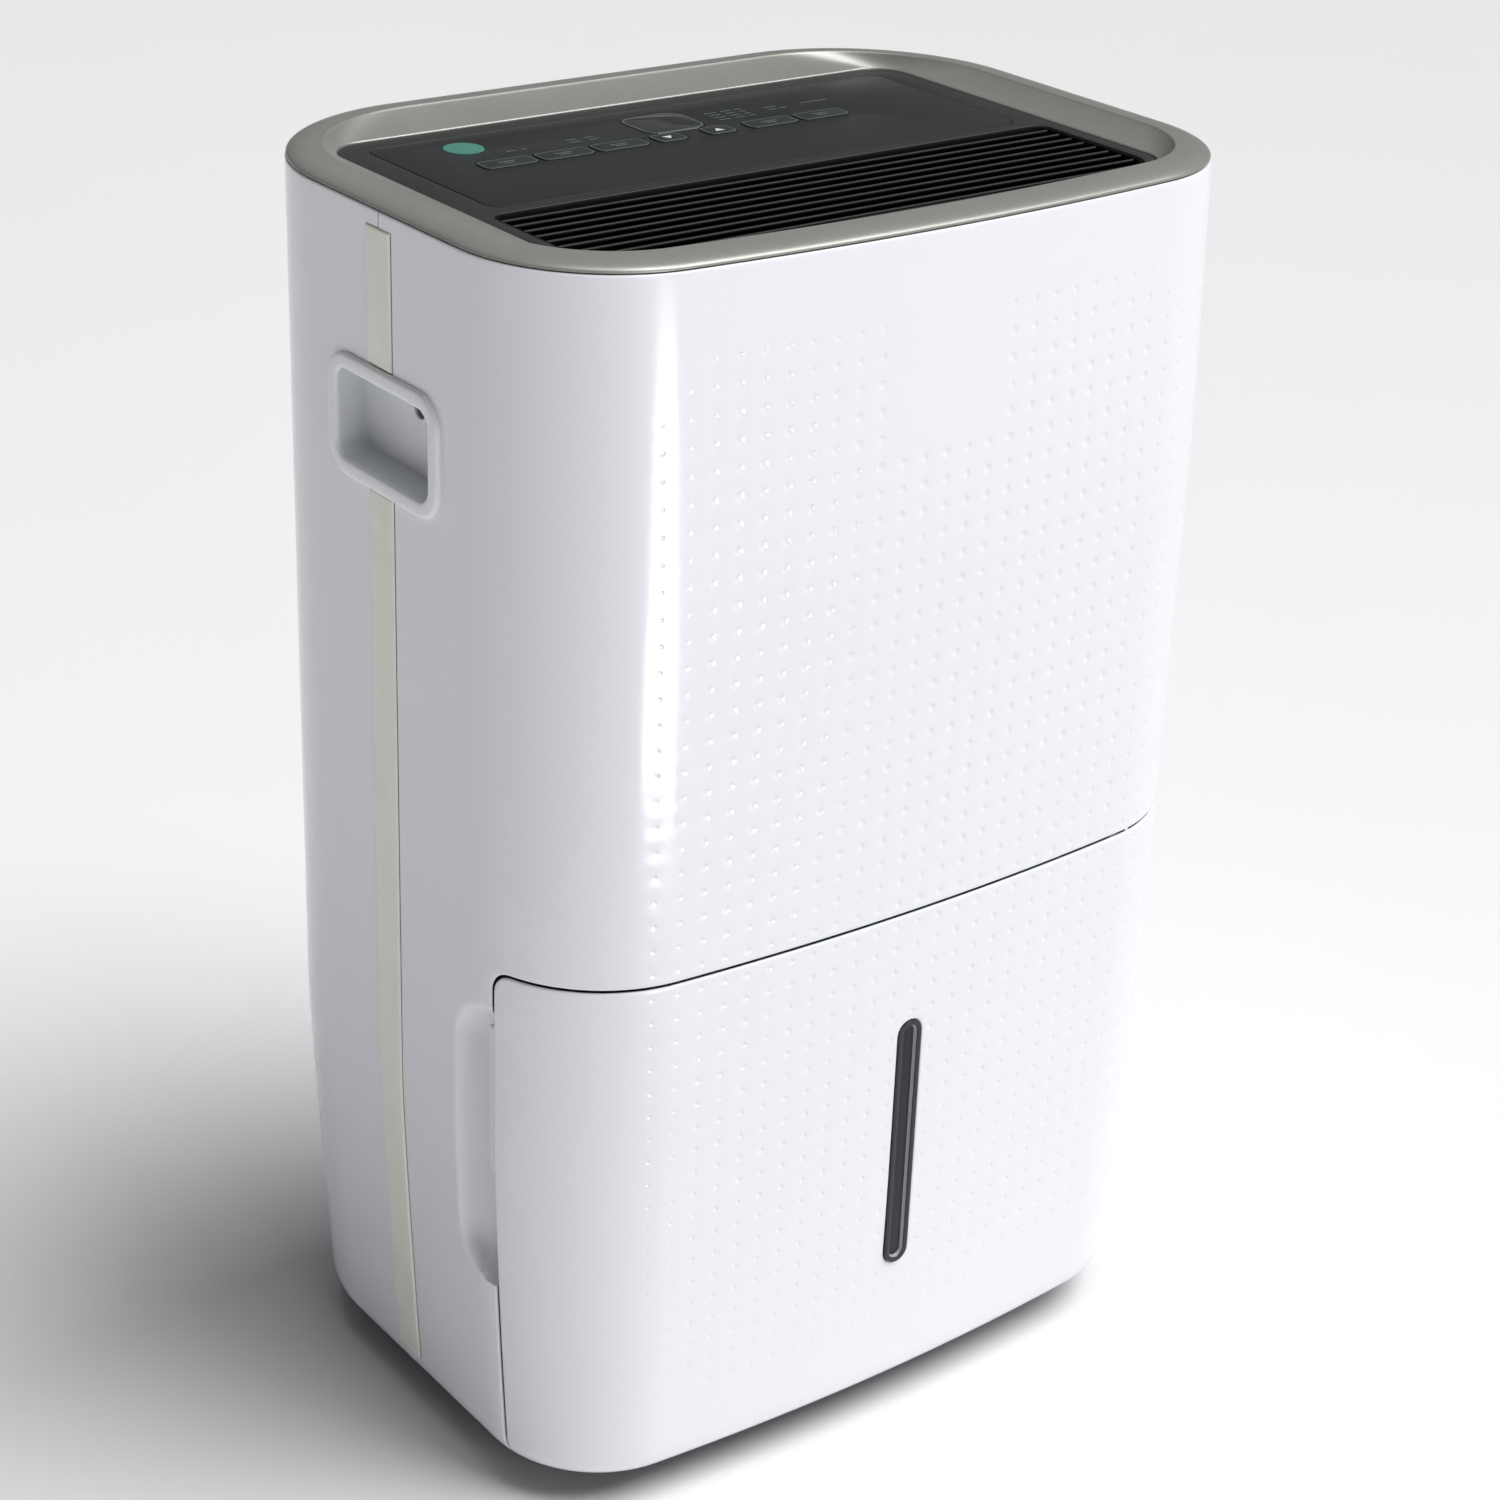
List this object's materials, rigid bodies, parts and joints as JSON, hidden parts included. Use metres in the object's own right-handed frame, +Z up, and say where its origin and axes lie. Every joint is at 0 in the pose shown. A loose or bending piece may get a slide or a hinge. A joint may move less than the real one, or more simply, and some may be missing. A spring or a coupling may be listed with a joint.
{
  "type": "portable dehumidifier",
  "caption": "Portable dehumidifier with a bowed dimpled front, pull-out water bucket with level window, louvred control top, side grips and casters.",
  "frame": {"origin": "on the floor, under the middle of the cabinet", "axes": "+Z up, front towards -Y, +X to the right when facing the machine from the front"},
  "size_m": [0.3948, 0.291, 0.611],
  "materials": {
    "white_shell": "gloss",
    "grey_base": "matte",
    "strip": "satin",
    "silver_ring": "satin metallic",
    "charcoal": "fine matte",
    "black": "matte",
    "film": "satin",
    "display": "gloss",
    "teal": "satin",
    "key": "satin",
    "board": "satin",
    "inner_grey": "satin",
    "fins": "satin",
    "dark_fins": "satin",
    "copper": "satin",
    "compressor": "gloss",
    "rubber": "matte",
    "steel": "zinc plated",
    "tub": "translucent satin",
    "lens": "gloss",
    "bail": "satin",
    "foam": "matte",
    "net": "woven net",
    "wheel": "satin"
  },
  "bodies": {
    "cabinet": {"base_pan": "grey_base", "front_cabinet": "white_shell", "rear_cabinet": "white_shell", "trim_strip_l": "strip", "trim_strip_r": "strip", "handle_cup_l": "white_shell", "handle_cup_r": "white_shell", "handle_screws": "steel", "top_ring": "silver_ring", "top_deck": "charcoal", "louvre_grille": "black", "control_film": "film", "display_window": "display", "power_disc": "teal", "control_board": "board", "bay_partition": "inner_grey", "drip_tray": "inner_grey", "evaporator": "fins", "condenser": "dark_fins", "compressor": "compressor", "compressor_mounts": "rubber", "refrigerant_pipes": "copper", "scroll_housing": "inner_grey", "fan_motor": "steel", "electric_box": "steel", "level_switch": "inner_grey", "cord_inlet": "rubber", "drain_port": "white_shell", "rear_screws": "steel"},
    "bucket": {"bucket_tub": "tub", "bucket_ribs": "white_shell", "bucket_front": "white_shell", "bucket_window": "lens", "bucket_lid": "tub"},
    "bucket_bail": {"bucket_handle": "bail"},
    "float": {"bucket_float": "foam"},
    "filter": {"filter_grille": "white_shell", "filter_net": "net"},
    "fan": {"fan_wheel": "black"},
    "hose_cap": {"drain_cap": "white_shell"},
    "key_cap_1": {"key_1": "key"},
    "key_cap_2": {"key_2": "key"},
    "key_cap_3": {"key_3": "key"},
    "key_cap_4": {"key_4": "key"},
    "key_cap_5": {"key_5": "key"},
    "key_cap_6": {"key_6": "key"},
    "key_cap_7": {"key_7": "key"},
    "swivel_1": {"caster_fork_1": "black"},
    "roller_1": {"caster_wheel_1": "wheel"},
    "swivel_2": {"caster_fork_2": "black"},
    "roller_2": {"caster_wheel_2": "wheel"},
    "swivel_3": {"caster_fork_3": "black"},
    "roller_3": {"caster_wheel_3": "wheel"},
    "swivel_4": {"caster_fork_4": "black"},
    "roller_4": {"caster_wheel_4": "wheel"}
  },
  "joints": [
    {"name": "bucket_slide", "type": "slide", "parent": "cabinet", "child": "bucket", "axis": [0, -1, 0], "range_m": [0, 0.2]},
    {"name": "bucket_handle_hinge", "type": "hinge", "parent": "bucket", "child": "bucket_bail", "pos_m": [0, -0.076, 0.264], "axis": [1, 0, 0], "range_deg": [0, 90]},
    {"name": "float_hinge", "type": "hinge", "parent": "bucket", "child": "float", "pos_m": [0.096, -0.038, 0.226], "axis": [-1, 0, 0], "range_deg": [0, 25]},
    {"name": "filter_slide", "type": "slide", "parent": "cabinet", "child": "filter", "axis": [0, 1, 0], "range_m": [0, 0.06]},
    {"name": "fan_spin", "type": "hinge", "parent": "cabinet", "child": "fan", "pos_m": [0, -0.061, 0.462], "axis": [0, 1, 0], "continuous": true},
    {"name": "drain_cap_pull", "type": "slide", "parent": "cabinet", "child": "hose_cap", "axis": [0, 1, 0], "range_m": [0, 0.04]},
    {"name": "key_1_press", "type": "slide", "parent": "cabinet", "child": "key_cap_1", "axis": [0, 0, -1], "range_m": [0, 0.0005], "stiffness_N_per_m": 600},
    {"name": "key_2_press", "type": "slide", "parent": "cabinet", "child": "key_cap_2", "axis": [0, 0, -1], "range_m": [0, 0.0005], "stiffness_N_per_m": 600},
    {"name": "key_3_press", "type": "slide", "parent": "cabinet", "child": "key_cap_3", "axis": [0, 0, -1], "range_m": [0, 0.0005], "stiffness_N_per_m": 600},
    {"name": "key_4_press", "type": "slide", "parent": "cabinet", "child": "key_cap_4", "axis": [0, 0, -1], "range_m": [0, 0.0005], "stiffness_N_per_m": 600},
    {"name": "key_5_press", "type": "slide", "parent": "cabinet", "child": "key_cap_5", "axis": [0, 0, -1], "range_m": [0, 0.0005], "stiffness_N_per_m": 600},
    {"name": "key_6_press", "type": "slide", "parent": "cabinet", "child": "key_cap_6", "axis": [0, 0, -1], "range_m": [0, 0.0005], "stiffness_N_per_m": 600},
    {"name": "key_7_press", "type": "slide", "parent": "cabinet", "child": "key_cap_7", "axis": [0, 0, -1], "range_m": [0, 0.0005], "stiffness_N_per_m": 600},
    {"name": "caster_1_swivel", "type": "hinge", "parent": "cabinet", "child": "swivel_1", "pos_m": [-0.134, -0.088, 0.03], "axis": [0, 0, 1], "continuous": true},
    {"name": "caster_1_roll", "type": "hinge", "parent": "swivel_1", "child": "roller_1", "pos_m": [-0.134, -0.081, 0.0125], "axis": [1, 0, 0], "continuous": true},
    {"name": "caster_2_swivel", "type": "hinge", "parent": "cabinet", "child": "swivel_2", "pos_m": [0.134, -0.088, 0.03], "axis": [0, 0, 1], "continuous": true},
    {"name": "caster_2_roll", "type": "hinge", "parent": "swivel_2", "child": "roller_2", "pos_m": [0.134, -0.081, 0.0125], "axis": [1, 0, 0], "continuous": true},
    {"name": "caster_3_swivel", "type": "hinge", "parent": "cabinet", "child": "swivel_3", "pos_m": [-0.134, 0.088, 0.03], "axis": [0, 0, 1], "continuous": true},
    {"name": "caster_3_roll", "type": "hinge", "parent": "swivel_3", "child": "roller_3", "pos_m": [-0.134, 0.095, 0.0125], "axis": [1, 0, 0], "continuous": true},
    {"name": "caster_4_swivel", "type": "hinge", "parent": "cabinet", "child": "swivel_4", "pos_m": [0.134, 0.088, 0.03], "axis": [0, 0, 1], "continuous": true},
    {"name": "caster_4_roll", "type": "hinge", "parent": "swivel_4", "child": "roller_4", "pos_m": [0.134, 0.095, 0.0125], "axis": [1, 0, 0], "continuous": true}
  ]
}
